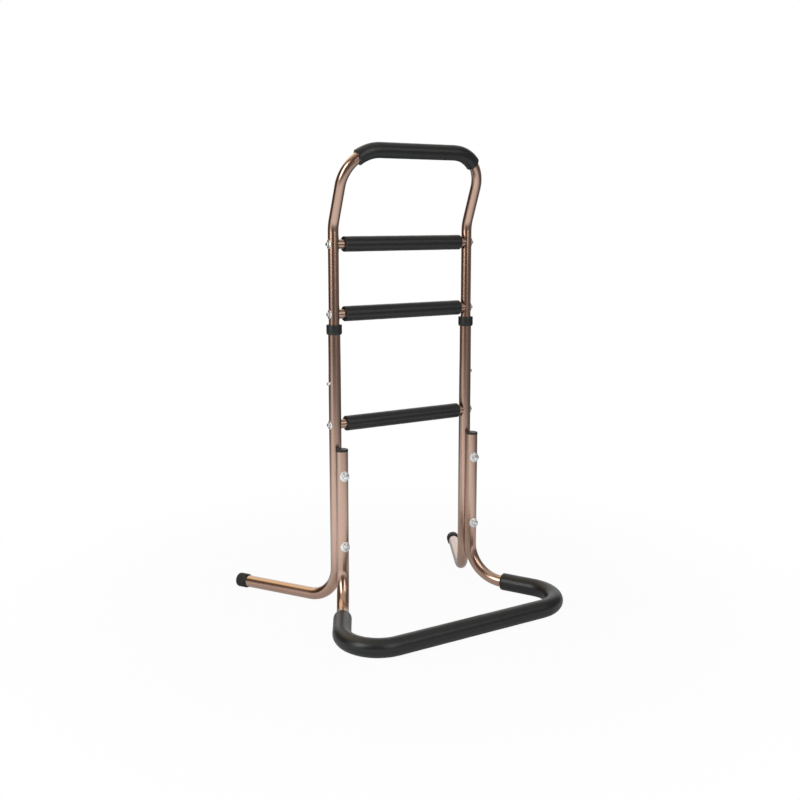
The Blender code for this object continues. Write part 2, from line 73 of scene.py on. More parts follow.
# %% Places
def lowest(node):
    return np.array(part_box(node)[0])


def highest(node):
    return np.array(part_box(node)[1])


def middle(node):
    return (lowest(node) + highest(node)) / 2


def unit(vector):
    return vector / np.linalg.norm(vector)


MM = 0.001
X, Y, Z = np.eye(3)
SIDES = {"left": -1, "right": 1}
POST_X = abs(middle("left_leg_collar")[0])
POST_Y = middle("left_leg_collar")[1]
print(f"posts stand at x = {POST_X:.4f} m on each side, y = {POST_Y:.4f} m")

# %% [markdown]
# The camera comes before any surface, because every render is framed like the photograph. Its place and
# lens were found by matching the edges of tubes and sleeves. The lens is written as a focal length in
# pixels of the square picture. The optical axis meets the picture a little above its middle, which a small
# shift gives.

# %% Camera
PICTURE_PIXELS = 800
FOCAL_PIXELS = 1005.4
AXIS_ROW = 380.3
EYE_FROM_POSTS = np.array([-1.0843, -1.7850, 0.8122])
CAMERA_TURN = math.radians(-31.14)
CAMERA_DIP = math.radians(9.315)

lens = bpy.data.cameras.new("camera")
lens.sensor_width = 36.0
lens.lens = lens.sensor_width * FOCAL_PIXELS / PICTURE_PIXELS
lens.shift_y = AXIS_ROW / PICTURE_PIXELS - 0.5
camera = bpy.data.objects.new("camera", lens)
camera.location = EYE_FROM_POSTS + POST_Y * Y
camera.rotation_euler = (math.pi / 2 - CAMERA_DIP, 0, CAMERA_TURN)
bpy.context.scene.collection.objects.link(camera)
bpy.context.scene.camera = camera
print(f"lens {lens.lens:.2f} mm, shift {lens.shift_y:.4f}")

# %% [markdown]
# A finish is a small sum over the surface, such as a tone plus a little noise. Blender writes sums as
# chains of Math nodes, which are slow to read in a script. This class wraps one socket, so that a sum of
# sockets and numbers can be typed as Python and the nodes are added behind it. Its node method adds any
# other kind of node.


# %% Shader sums
class Wire:
    """One output socket of a node tree. Sums with numbers and other wires add Math nodes."""

    def __init__(self, tree, socket=None):
        self.tree = tree
        self.socket = socket

    def node(self, kind, settings=None, values=None, output=0):
        """Adds a node, sets its settings first, then its sockets, and gives one of its outputs."""
        made = self.tree.nodes.new(kind)
        for name, value in (settings or {}).items():
            setattr(made, name, value)
        for name, value in (values or {}).items():
            if isinstance(value, Wire):
                self.tree.links.new(value.socket, made.inputs[name])
            else:
                made.inputs[name].default_value = value
        return Wire(self.tree, made.outputs[output])

    def math(self, operation, *values):
        return self.node("ShaderNodeMath", {"operation": operation}, dict(enumerate(values)))

    def __add__(self, other):
        return self.math("ADD", self, other)

    def __rsub__(self, other):
        return self.math("SUBTRACT", other, self)

    def __mul__(self, other):
        return self.math("MULTIPLY", self, other)

    def __truediv__(self, other):
        return self.math("DIVIDE", self, other)

    def __pow__(self, other):
        return self.math("POWER", self, other)

    __radd__ = __add__
    __rmul__ = __mul__

    def least(self, other):
        return self.math("MINIMUM", self, other)

    def between(self, low, high):
        """0 below low, 1 above high, and a smooth rise between them."""
        ends = {"Value": self, "From Min": low, "From Max": high}
        return self.node("ShaderNodeMapRange", {"interpolation_type": "SMOOTHSTEP"}, ends)

    def colour(self, low, high):
        """A colour between two, by this value from 0 to 1. Each of the two is a wire or three numbers."""
        low, high = (end if isinstance(end, Wire) else (*end, 1) for end in (low, high))
        return self.node("ShaderNodeMix", {"data_type": "RGBA"}, {0: self, 6: low, 7: high}, output=2)

    def along(self, direction):
        """How far a position or a direction reaches along a fixed one."""
        ends = {0: self, 1: tuple(direction)}
        return self.node("ShaderNodeVectorMath", {"operation": "DOT_PRODUCT"}, ends, "Value")


print("Wire writes + - * / and ** as Math nodes")

# %% [markdown]
# Three textures do nearly all the work. Noise gives slow drifts of tone and fine grain. Cells give flakes,
# pores and crystals: each cell has a random value, and the distance from its seed makes a dimple. A bump
# turns a height into a bent normal. They read Object coordinates in metres, so a scale of 1000 is about one
# cell to a millimetre.


# %% Textures
def noise(at, scale, detail=2.0):
    return at.node("ShaderNodeTexNoise", None, {"Vector": at, "Scale": scale, "Detail": detail})


def cell_distance(at, scale):
    return at.node("ShaderNodeTexVoronoi", None, {"Vector": at, "Scale": scale}, "Distance")


def cell_value(at, scale):
    """One random value from 0 to 1 for each cell."""
    colour = at.node("ShaderNodeTexVoronoi", None, {"Vector": at, "Scale": scale}, "Color")
    return at.node("ShaderNodeSeparateColor", None, {"Color": colour})


def bump(at, height, depth, strength):
    """The normal of a surface whose height from 0 to 1 stands for depth in metres."""
    return at.node("ShaderNodeBump", None, {"Height": height, "Distance": depth, "Strength": strength})


def new_finish(name, same):
    """A material with one Principled shader. same holds the values that don't change over the surface."""
    material = bpy.data.materials.new(name)
    material.use_nodes = True
    shader = material.node_tree.nodes["Principled BSDF"]
    for socket, value in same.items():
        shader.inputs[socket].default_value = value
    at = Wire(material.node_tree).node("ShaderNodeTexCoord", output="Object")
    return material, shader, at


def feed(shader, varying):
    """Links what changes over the surface."""
    for socket, wire in varying.items():
        wire.tree.links.new(wire.socket, shader.inputs[socket])


FINISH = {}
print("textures: noise, cell_distance, cell_value, bump")

# %% [markdown]
# The tubes have a glossy metallic paint in bronze. Metal flakes lie under a clear coat: the flakes give a
# saturated golden brown, and the coat adds a pale, sharp image of each lamp on top. One mirror-like metal
# can't show both, so the Principled shader's own coat is used. Flakes are cells of a third of a millimetre,
# each with its own tone. Sprayed paint is never quite level, so a soft noise of about a centimetre bends
# the normal.


# %% Bronze paint
def bronze_paint():
    same = {"Metallic": 1.0, "Coat Weight": 1.0, "Coat Roughness": 0.08, "Coat IOR": 1.6}
    material, shader, at = new_finish("bronze_paint", same)
    flake = cell_value(at, 3000)
    drift = noise(at, 14)
    level = noise(at, 110, detail=1.0)
    tone = 0.4 * flake + 0.6 * drift
    varying = {
        "Base Color": tone.colour((0.45, 0.278, 0.198), (0.59, 0.375, 0.28)),
        "Roughness": 0.19 + 0.04 * flake + 0.03 * drift,
        "Normal": bump(at, level, 0.012 * MM, 0.5),
    }
    feed(shader, varying)
    return material


FINISH["bronze_paint"] = bronze_paint()
print("finish: bronze paint")

# %% [markdown]
# The sleeves are closed-cell foam tube. It is a dark neutral grey, not black, because its skin is full of
# tiny cut cells that scatter light. Pores of about two thirds of a millimetre dent the skin, a finer grain
# lies between them, and the tone drifts a little where hands and the mould have rubbed it. The skin is
# closed, so it keeps a soft shine.


# %% Black foam
def black_foam():
    same = {"Specular IOR Level": 0.42}
    material, shader, at = new_finish("black_foam", same)
    pores = cell_distance(at, 1500)
    grain = noise(at, 2600)
    rubbed = noise(at, 28, detail=4.0)
    tone = 0.4 * grain + 0.6 * rubbed
    height = 0.65 * pores.between(0.05, 0.55) + 0.35 * grain
    varying = {
        "Base Color": tone.colour((0.012, 0.0122, 0.0128), (0.023, 0.0233, 0.0243)),
        "Roughness": 0.24 + 0.06 * grain + 0.08 * rubbed,
        "Normal": bump(at, height, 0.12 * MM, 0.55),
    }
    feed(shader, varying)
    return material


FINISH["black_foam"] = black_foam()
print("finish: black foam")

# %% [markdown]
# Collars, plugs and inserts are moulded plastic, spark-eroded to a fine satin. Foot caps are softer rubber,
# which is duller and holds dust. Both are nearly black, so what tells them apart is how they spread light.


# %% Black plastic and black rubber
def black_plastic():
    material, shader, at = new_finish("black_plastic", {"Specular IOR Level": 0.5})
    grain = noise(at, 2400, detail=3.0)
    drift = noise(at, 60)
    varying = {
        "Base Color": drift.colour((0.010, 0.0105, 0.011), (0.020, 0.0205, 0.0215)),
        "Roughness": 0.33 + 0.14 * grain + 0.08 * drift,
        "Normal": bump(at, grain, 0.03 * MM, 0.5),
    }
    feed(shader, varying)
    return material


def black_rubber():
    material, shader, at = new_finish("black_rubber", {"Specular IOR Level": 0.4})
    grain = noise(at, 1800, detail=4.0)
    dust = noise(at, 90, detail=5.0).between(0.5, 0.75)
    varying = {
        "Base Color": dust.colour((0.014, 0.014, 0.0145), (0.038, 0.036, 0.034)),
        "Roughness": 0.55 + 0.15 * grain + 0.15 * dust,
        "Normal": bump(at, grain, 0.05 * MM, 0.5),
    }
    feed(shader, varying)
    return material


FINISH["black_plastic"] = black_plastic()
FINISH["black_rubber"] = black_rubber()
print("finishes: black plastic, black rubber")

# %% [markdown]
# Bolts, washers, nuts and snap buttons are zinc plated steel. Bright zinc is a pale metal with faint
# crystals and a slight bluish or yellowish tint, and handling leaves fine scuffs that spread its
# reflections.


# %% Zinc plate
def zinc_plate():
    material, shader, at = new_finish("zinc_plate", {"Metallic": 1.0})
    crystal = cell_value(at, 900)
    scuff = noise(at, 700, detail=6.0)
    tint = noise(at, 160)
    tone = 0.45 * crystal + 0.55 * tint
    varying = {
        "Base Color": tone.colour((0.84, 0.84, 0.82), (0.96, 0.96, 0.95)),
        "Roughness": 0.2 + 0.1 * crystal + 0.14 * scuff,
        "Normal": bump(at, scuff, 0.02 * MM, 0.4),
    }
    feed(shader, varying)
    return material


FINISH["zinc_plate"] = zinc_plate()
print("finish: zinc plate")

# %% [markdown]
# The photograph was taken in a white studio: two tall softboxes in front, a pale floor and a bright sweep.
# The sweep is the world. What the camera sees of it is plain white, and so is what metal mirrors of it low
# down and behind the rail. Other directions are a dim room, because the tubes have dark sides in the
# photograph: brown on the left, grey on the right and under the ceiling. High behind the left a warm glow
# gilds the tops of the feet.


# %% World
def ray_kinds(tree):
    """Whether a ray comes from the camera, and whether a surface mirrors it or lets it through."""
    seen = tree.node("ShaderNodeLightPath", output="Is Camera Ray")
    mirrored = tree.node("ShaderNodeLightPath", output="Is Glossy Ray")
    through = tree.node("ShaderNodeLightPath", output="Is Transmission Ray")
    return seen, (mirrored + through).least(1.0)


def studio_world():
    world = bpy.data.worlds.new("studio")
    world.use_nodes = True
    tree = Wire(world.node_tree)
    seen, mirrored = ray_kinds(tree)
    way = tree.node("ShaderNodeTexCoord", output="Generated")
    up = way.along(Z)
    behind = way.along(-TOWARDS_CAMERA) / (1 - up * up) ** 0.5
    sweep = behind.between(0.7, 0.95) * (1 - up.between(0.55, 0.8))
    walls = way.along(ACROSS).between(-0.5, 0.5).colour(LEFT_WALL, RIGHT_WALL)
    room = up.between(0.69, 0.84).colour(walls, CEILING)
    room = way.along(GLOW_WAY).between(0.87, 0.96).colour(room, GLOW)
    room = mirrored.colour(ROOM_LIGHT, room)
    colour = (seen + mirrored * sweep).least(1.0).colour(room, (1, 1, 1))
    shader = world.node_tree.nodes["Background"]
    world.node_tree.links.new(colour.socket, shader.inputs["Color"])
    bpy.context.scene.world = world


ROOM_LIGHT = (0.3, 0.3, 0.3)
LEFT_WALL = (0.085, 0.058, 0.036)
RIGHT_WALL = (0.17, 0.16, 0.148)
CEILING = (0.62, 0.61, 0.57)
GLOW = (1.35, 1.15, 0.74)
TOWARDS_CAMERA = unit(EYE_FROM_POSTS * (1, 1, 0))
ACROSS = np.cross(Z, TOWARDS_CAMERA)
GLOW_WAY = unit(-0.43 * TOWARDS_CAMERA - 0.43 * ACROSS + 0.79 * Z)
studio_world()
bpy.context.scene.view_settings.view_transform = "Standard"
print("room light", ROOM_LIGHT, "the camera stands towards", TOWARDS_CAMERA.round(3))

# %% [markdown]
# Each softbox is an area lamp, given by the angle at which it stands to the camera's own direction, as seen
# from the rail. A lamp's power is its brightness times its area times pi. The left one is brighter, because
# the left band on every upright tube is the brighter one. A dim card stands on the floor below each, and
# carries its band down the tube. A dim fill further round to the right draws the soft line of light along
# the rungs' sleeves.


# %% Softboxes
def softbox(name, degrees, away, height, size, brightness):
    """A lamp at an angle to the left of the camera, aimed at the middle of the rail."""
    lamp = bpy.data.lights.new(name, "AREA")
    lamp.shape = "RECTANGLE"
    lamp.size, lamp.size_y = size
    lamp.energy = brightness * size[0] * size[1] * math.pi
    angle = math.atan2(TOWARDS_CAMERA[1], TOWARDS_CAMERA[0]) - math.radians(degrees)
    box = bpy.data.objects.new(name, lamp)
    box.location = (away * math.cos(angle), away * math.sin(angle), height)
    dip = math.atan2(height - AIM_HEIGHT, away)
    box.rotation_euler = (math.pi / 2 - dip, 0, angle + math.pi / 2)
    box.visible_camera = False
    bpy.context.scene.collection.objects.link(box)


AIM_HEIGHT = 0.45
softbox("left_softbox", degrees=47, away=2.2, height=1.455, size=(1.0, 1.555), brightness=4.8)
softbox("right_softbox", degrees=-33, away=2.2, height=1.5, size=(0.8, 1.65), brightness=2.6)
softbox("right_fill", degrees=-61, away=2.3, height=1.62, size=(0.9, 1.15), brightness=1.2)
softbox("left_card", degrees=54, away=2.3, height=0.37, size=(1.5, 0.7), brightness=0.5)
softbox("right_card", degrees=-36, away=2.3, height=0.37, size=(1.0, 0.7), brightness=0.12)
print("two softboxes, a fill and two cards")

# %% [markdown]
# The floor is a pale sheet just under the rail. Near the rail it is a real surface that takes the shadow.
# Further out it fades to the same plain white as the world, so that no horizon shows in the picture. Away
# from the rail, what the tubes mirror of it is mostly a painted glow: a painted pool of light in front of
# the rail, a fainter painted one under the left softbox, and painted shade behind the rail. Near the rail
# they mirror mostly the real surface with its shadow.


# %% Floor
def distance(at, place):
    """How far a position is from a place."""
    return at.node("ShaderNodeVectorMath", {"operation": "DISTANCE"}, {0: at, 1: tuple(place)}, "Value")


def painted_light_patch(at, across, near, reach):
    """One at the middle of a painted patch of light, fading to nothing at its reach."""
    return 1 - distance(at, across * ACROSS + near * TOWARDS_CAMERA).between(0.2, reach)


def floor_finish():
    material = bpy.data.materials.new("pale_floor")
    material.use_nodes = True
    tree = material.node_tree
    at = Wire(tree).node("ShaderNodeTexCoord", output="Object")
    away = distance(at, (0, 0, 0))
    # Painted light in the floor's glow: a painted pool in front, a fainter one to the left, painted shade
    # behind the rail.
    painted_front_pool = 0.85 * painted_light_patch(at, across=-0.2, near=0.6, reach=2.2)
    painted_left_pool = 0.4 * painted_light_patch(at, across=-1.8, near=1.2, reach=1.7)
    painted_shade_behind = 0.6 + 0.4 * at.along(TOWARDS_CAMERA).between(-0.4, 0.3)
    light = (0.15 + painted_front_pool + painted_left_pool) * painted_shade_behind
    grain = noise(at, 40)
    seen, mirrored = ray_kinds(at)
    white_to_the_eye = 0.955 + 0.045 * away.between(0.35, 1.1)
    light_to_the_tubes = 0.1 + 0.8 * away.between(0.3, 0.6)
    fade = seen * white_to_the_eye + mirrored * light_to_the_tubes
    shader = tree.nodes["Principled BSDF"]
    shader.inputs["Roughness"].default_value = 0.9
    feed(shader, {"Base Color": grain.colour((0.86, 0.86, 0.86), (0.9, 0.9, 0.9))})
    # The camera sees plain white here, and mirrored rays see the painted light.
    glow = seen.colour(light.colour((0, 0, 0), PAINTED_FLOOR_LIGHT), (1, 1, 1))
    white = at.node("ShaderNodeEmission", None, {"Color": glow, "Strength": 1.0})
    plain = Wire(tree, shader.outputs[0])
    mixed = at.node("ShaderNodeMixShader", None, {0: fade, 1: plain, 2: white})
    tree.links.new(mixed.socket, tree.nodes["Material Output"].inputs["Surface"])
    return material


FLOOR_HALF = 3.2
# Colour of the painted light in the floor's glow.
PAINTED_FLOOR_LIGHT = (1.2, 1.25, 1.3)
FLOOR_DROP = 0.3 * MM
floor_mesh = bpy.data.meshes.new("floor")
corners = np.array([[-1, -1, 0], [1, -1, 0], [1, 1, 0], [-1, 1, 0]]) * FLOOR_HALF - FLOOR_DROP * Z
floor_mesh.from_pydata(corners.tolist(), [], [(0, 1, 2, 3)])
floor_mesh.materials.append(floor_finish())
floor = bpy.data.objects.new("floor", floor_mesh)
bpy.context.scene.collection.objects.link(floor)
print("floor of", 2 * FLOOR_HALF, "m")

# %% [markdown]
# Nearly every piece of the rail is round along some line: a tube along its bent axis, a sleeve along part
# of that axis, a bolt along its own. So one surface makes them all. Its first parameter runs along a
# section, which is a list of distances and radii, and its second goes round the axis. A pipe could also be
# a bevelled curve, but then its wall and its ends couldn't be shaped.


# %% Sections carried along an axis
def carried(frames, radii, turns):
    """Grid of points: axis point + radius * (cos a * side + sin a * across), for whole rings of angles a.

    frames holds the axis points, directions and side vectors of the rows. radii has one value for each row,
    or one for each row and angle.
    """
    points, ways, sides = frames
    angles = np.arange(turns) * 2 * math.pi / turns
    across = np.cross(ways, sides)
    rings = np.cos(angles)[None, :, None] * sides[:, None] + np.sin(angles)[None, :, None] * across[:, None]
    radii = np.reshape(radii, (len(points), -1))[..., None]
    return points[:, None] + radii * rings


def straight(at, way, side, along):
    """Rows on a straight axis: at + along * way."""
    along = np.asarray(along)
    return at + along[:, None] * way, np.tile(way, (len(along), 1)), np.tile(side, (len(along), 1))


def grid_mesh(name, grid, closed):
    """A mesh of quads over a grid whose columns close into rings. closed joins the last row to the first.

    Rows that shrink to a point are merged there, so a tip is closed.
    """
    rows, turns = grid.shape[:2]
    index = np.arange(rows * turns).reshape(rows, turns)
    here = index if closed else index[:-1]
    following = np.roll(index, -1, axis=0) if closed else index[1:]
    quads = np.stack([here, np.roll(here, -1, 1), np.roll(following, -1, 1), following], axis=-1)
    mesh = bpy.data.meshes.new(name)
    mesh.from_pydata(grid.reshape(-1, 3).tolist(), [], quads.reshape(-1, 4).tolist())
    body = bmesh.new()
    body.from_mesh(mesh)
    bmesh.ops.remove_doubles(body, verts=body.verts, dist=MERGE_DISTANCE)
    body.to_mesh(mesh)
    body.free()
    return mesh


MERGE_DISTANCE = 0.001 * MM
SHARP_ANGLE = math.radians(38)
made = []


def dress(node, grid, closed=True, bends=None):
    """Puts a surface over a solid: it takes the solid's finish and, without bends, rides on the solid's body.

    bends is for a piece that another body pulls along: that body, and the points where its pull starts and
    is whole. Given bends, the piece only stays where it stands; the body and points are not used.
    """
    slot = frame["nodes"][node].data.materials[0].name
    mesh = grid_mesh(f"{node}_skin", grid, closed)
    mesh.shade_smooth()
    mesh.set_sharp_from_angle(angle=SHARP_ANGLE)
    mesh.materials.append(FINISH[slot])
    piece = bpy.data.objects.new(mesh.name, mesh)
    bpy.context.scene.collection.objects.link(piece)
    if bends:
        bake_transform(piece)
    else:
        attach(piece, BODY_OF[node])
    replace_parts(piece, node)
    made.append(piece)
    return piece


print("carried, straight, grid_mesh and dress are ready")

# %% [markdown]
# A tube's axis is a run of straight lines joined by arcs, as a bending machine makes it. Only the corners
# are looped over. Each arc is one array, and the side vector turns with the arc in the arc's own plane, so
# the tube never twists.


# %% Bent axes
class Axis:
    """The line down the middle of a bent tube, with the distance at which each bend starts and ends."""

    def __init__(self, corners, radii, side, arc_points=49):
        """On an arc: start + R (sin t * enter + (1 - cos t) * inward), for t up to the bend's angle."""
        enter = unit(corners[1] - corners[0])
        rows = [np.hstack([corners[0], enter, side])[None]]
        for before, corner, after, radius in zip(corners, corners[1:], corners[2:], radii):
            enter, leave = unit(corner - before), unit(after - corner)
            angle = math.acos(enter @ leave)
            inward = unit(leave - enter * (enter @ leave))
            normal = np.cross(enter, inward)
            turn = np.linspace(0, angle, arc_points)[:, None]
            start = corner - enter * radius * math.tan(angle / 2)
            points = start + radius * (np.sin(turn) * enter + (1 - np.cos(turn)) * inward)
            ways = np.cos(turn) * enter + np.sin(turn) * inward
            swung = np.cos(turn) * inward - np.sin(turn) * enter
            sides = (side @ inward) * swung + (side @ normal) * normal
            rows.append(np.hstack([points, ways, sides]))
            side = sides[-1]
        rows.append(np.hstack([corners[-1], unit(corners[-1] - corners[-2]), side])[None])
        self.rows = np.vstack(rows)
        steps = np.linalg.norm(np.diff(self.rows[:, :3], axis=0), axis=1)
        self.along = np.concatenate([[0], np.cumsum(steps)])
        self.length = self.along[-1]
        firsts = 1 + arc_points * np.arange(len(radii))
        self.bends = [(self.along[i], self.along[i + arc_points - 1]) for i in firsts]

    def frames(self, along):
        """Points, directions and sides at these distances from the start."""
        columns = [np.interp(along, self.along, column) for column in self.rows.T]
        rows = np.stack(columns, axis=1)
        return rows[:, :3], rows[:, 3:6], rows[:, 6:]


def post(word, z):
    """The point at height z on the axis of a post."""
    return np.array([SIDES[word] * POST_X, POST_Y, z])


def mirrored_run(left):
    """Corners of a tube that is the same on both sides, from those of its left half."""
    return left + [point * (-1, 1, 1) for point in reversed(left)]


print("Axis is ready")

# %% [markdown]
# The upper frame is one tube: up from inside a leg, a slight kick forward, a wide corner, across as the
# handle and down again on the other side. The legs are two more tubes that turn out into long feet. The
# base is a fourth: down in front of a leg, forward along the floor, across and back. All four have thin
# walls, so a section goes along the outside and comes back along the inside.

# %% Axes of the frame
KICK_Z = 792 * MM
KICK_RADIUS = 60 * MM
HANDLE_LEAN = math.radians(22)
HANDLE_ARM = 156.5 * MM
HANDLE_CORNER_RADIUS = 74 * MM
FOOT_SPLAY = math.radians(29)
FOOT_SLOPE = math.radians(1.5)
FOOT_REACH = 259.5 * MM
LEG_BEND_RADIUS = 69 * MM
FOOT_END_Z = 14.106 * MM
ARM_SPLAY = math.radians(29)
STUB_BEND_RADIUS = 76 * MM
BASE_CORNER_RADIUS = 70.5 * MM
FRONT_REACH = 265 * MM
BASE_AXIS_Z = 19 * MM

lean = np.array([0, -math.sin(HANDLE_LEAN), math.cos(HANDLE_LEAN)])
kick = post("left", KICK_Z)
upper_left = [post("left", lowest("upper_frame_tube")[2]), kick, kick + HANDLE_ARM * lean]
upper_bends = [KICK_RADIUS, HANDLE_CORNER_RADIUS, HANDLE_CORNER_RADIUS, KICK_RADIUS]
upper_axis = Axis(mirrored_run(upper_left), upper_bends, X)

STUB_Y = middle("left_stub_plug")[1]
arm = np.array([-math.sin(ARM_SPLAY), -math.cos(ARM_SPLAY), 0])
stub_foot = np.array([-POST_X, STUB_Y, BASE_AXIS_Z])
arm_length = (FRONT_REACH + STUB_Y - POST_Y) / math.cos(ARM_SPLAY)
base_left = [stub_foot * (1, 1, 0) + highest("base_tube")[2] * Z, stub_foot, stub_foot + arm_length * arm]
base_bends = [STUB_BEND_RADIUS, BASE_CORNER_RADIUS, BASE_CORNER_RADIUS, STUB_BEND_RADIUS]
base_axis = Axis(mirrored_run(base_left), base_bends, X)
print(f"upper tube {upper_axis.length:.3f} m, base tube {base_axis.length:.3f} m")


# %% Axes of the feet
def foot_way(word):
    """The direction of a foot: back, out to its side and slightly down."""
    level = np.array([SIDES[word] * math.sin(FOOT_SPLAY), math.cos(FOOT_SPLAY), 0])
    return level * math.cos(FOOT_SLOPE) - Z * math.sin(FOOT_SLOPE)


def foot_corner(word):
    """The point where the straight axes of a leg and its foot would meet."""
    return post(word, FOOT_END_Z + FOOT_REACH * math.sin(FOOT_SLOPE))


FIT = 0.3 * MM
CAP_END = 3 * MM
FOOT_TUBE_REACH = FOOT_REACH - CAP_END - FIT
leg_axis = {}
for word in SIDES:
    corner = foot_corner(word)
    run = [post(word, highest(f"{word}_leg_tube")[2]), corner, corner + FOOT_TUBE_REACH * foot_way(word)]
    leg_axis[word] = Axis(run, [LEG_BEND_RADIUS], X)
print(f"leg tube {leg_axis['left'].length:.3f} m")


# %% Tubes
def tube_rows(axis, radius):
    """Distances and radii of a thin wall: out along the outside, back along the inside."""
    out = np.linspace(0, axis.length, int(axis.length / ROW_STEP))
    along = np.concatenate([out, out[::-1]])
    return along, np.repeat([radius, radius - TUBE_WALL], len(out))


def tube(node, axis, radius):
    """A thin-walled tube along the whole of a bent axis."""
    along, radii = tube_rows(axis, radius)
    return dress(node, carried(axis.frames(along), radii, TUBE_TURNS))


ROW_STEP = 4 * MM
TUBE_WALL = 1.2 * MM
TUBE_TURNS = 48
UPPER_R = 11 * MM
LEG_R = 12.5 * MM
upper_tube = tube("upper_frame_tube", upper_axis, UPPER_R)
tube("base_tube", base_axis, LEG_R)
leg_tubes = {word: tube(f"{word}_leg_tube", leg_axis[word], LEG_R) for word in SIDES}
print([f"{piece.name}: {len(piece.data.polygons)} faces" for piece in made])

# %% [markdown]
# Each leg has a row of holes on its outer side, where a snap button in the upper tube clicks in at one
# height or another. A hole could be painted on, but it would shine like the tube. It is cut with rods by a
# Boolean, which is applied at once so that nothing is left to work out later.


# %% Button holes
def punch(piece, rods):
    """Cuts rods out of a piece. Each rod is a centre, a direction, a radius and a length."""
    cutter_mesh = bpy.data.meshes.new("rods")
    body = bmesh.new()
    for centre, way, radius, length in rods:
        rows = straight(centre, way, Z, np.array([-0.5, -0.5, 0.5, 0.5]) * length)
        rod = grid_mesh("rod", carried(rows, np.array([0, radius, radius, 0]), ROD_TURNS), False)
        body.from_mesh(rod)
        bpy.data.meshes.remove(rod)
    body.to_mesh(cutter_mesh)
    body.free()
    cutter = bpy.data.objects.new("rods", cutter_mesh)
    bpy.context.scene.collection.objects.link(cutter)
    boolean = piece.modifiers.new("punch", "BOOLEAN")
    boolean.operation = "DIFFERENCE"
    boolean.solver = "EXACT"
    boolean.object = cutter
    bpy.context.view_layer.update()
    graph = bpy.context.evaluated_depsgraph_get()
    cut = bpy.data.meshes.new_from_object(piece.evaluated_get(graph))
    old = piece.data
    piece.modifiers.clear()
    piece.data = cut
    bpy.data.meshes.remove(old)
    bpy.data.objects.remove(cutter)
    cut.name = piece.name
    cut.set_sharp_from_angle(angle=SHARP_ANGLE)


ROD_TURNS = 40
HOLE_R = 4.1 * MM
HOLE_PITCH = 25 * MM
HOLE_COUNT = 4
BUTTON_Z = middle("left_snap_button")[2]
heights = BUTTON_Z + HOLE_PITCH * np.arange(HOLE_COUNT)
for word, side in SIDES.items():
    rods = [(post(word, z) + side * LEG_R * X, X, HOLE_R, LEG_R) for z in heights]
    punch(leg_tubes[word], rods)
upper_rods = [(post(word, BUTTON_Z) + side * UPPER_R * X, X, HOLE_R, UPPER_R) for word, side in SIDES.items()]
punch(upper_tube, upper_rods)
print(len(leg_tubes["left"].data.polygons), "faces on a leg with its holes")

# %% [markdown]
# Three cross rungs are thinner tubes, cut at each end to the curve of the post that they meet. A machinist
# would mill that end. Here the length of the rung depends on the angle round it, so the end row lands on
# the post by itself.


# %% Rung tubes
def rung_tube(node, z, post_r):
    """x = +-(post spacing / 2 - sqrt(cope**2 - y**2)) at the ends, with y = radius * sin(angle)."""
    cope = post_r + FIT
    angles = np.arange(TUBE_TURNS) * 2 * math.pi / TUBE_TURNS
    out = np.array([-1, -0.9, 0.9, 1])
    ends = np.concatenate([out, out[::-1]])[:, None]
    radii = np.repeat([RUNG_R, RUNG_R - TUBE_WALL], len(out))[:, None]
    y = radii * np.sin(angles)
    x = ends * (POST_X - np.sqrt(cope**2 - y**2))
    grid = np.stack([x, POST_Y + y, z + radii * np.cos(angles)], axis=-1)
    dress(node, grid[:, ::-1])


RUNG_R = 9.5 * MM
RUNGS = {"top": UPPER_R, "middle": UPPER_R, "lower": LEG_R}
RUNG_Z = {word: middle(f"{word}_rung_foam")[2] for word in RUNGS}
for word, post_r in RUNGS.items():
    rung_tube(f"{word}_rung_tube", RUNG_Z[word], post_r)
print("rungs at", {word: round(z, 4) for word, z in RUNG_Z.items()})

# %% [markdown]
# Foam sleeves cover the handle, the rungs and the base. Such a sleeve is cut from a long foam tube and
# pushed on, so its ends are flat with softened edges, and its skin isn't perfectly even. Cloth simulation
# would only make a firm sleeve slack, so the form is worked out directly: a rounded section with a slow
# ripple of a tenth of a millimetre. Round a bend, a sleeve has too far to go on the outside, so its end is
# drawn back there and its cut lies aslant.


# %% Foam sleeves
def sleeve_rows(start, end, bore, outer, edge):
    """Distances and radii of a sleeve: a flat end, a quarter circle, the outside, the same back, the bore."""
    turn = np.linspace(0, math.pi / 2, 7)
    lip = edge * (1 - np.cos(turn))
    lip_r = outer - edge + edge * np.sin(turn)
    rows = int((end - start) / ROW_STEP)
    inside = np.linspace(start, end, rows)
    outside = np.linspace(start + edge, end - edge, rows)[1:-1]
    along = np.concatenate([start + lip, outside, end - lip[::-1], inside[::-1]])
    radii = np.concatenate([lip_r, 0 * outside + outer, lip_r[::-1], 0 * inside + bore])
    return along, radii


def rippled(along, radii, bore, turns):
    """radius + ripple * (slow + 0.6 * quick), each a wave along times a wave round. The bore stays true."""
    angles = np.arange(turns) * 2 * math.pi / turns
    slow = np.sin(2 * math.pi * along / SLOW_WAVE)[:, None] * np.sin(2 * angles + 0.7)
    quick = np.sin(2 * math.pi * along / QUICK_WAVE)[:, None] * np.sin(3 * angles - 1.1)
    ripple = FOAM_RIPPLE * (slow + 0.6 * quick)
    return radii[:, None] + ripple * (radii > bore)[:, None]


def slanted(grid, frames, along, ends, slants):
    """Near an end, each point moves along the axis by slant * its reach towards the inside of the bend."""
    points, ways, sides = frames
    inward = ((grid - points[:, None]) * sides[:, None]).sum(axis=-1)
    near_start, near_end = (np.clip(1 - np.abs(along - end) / SLANT_REACH, 0, 1) for end in ends)
    push = slants[1] * near_end - slants[0] * near_start
    return grid + (push[:, None] * inward)[..., None] * ways[:, None]


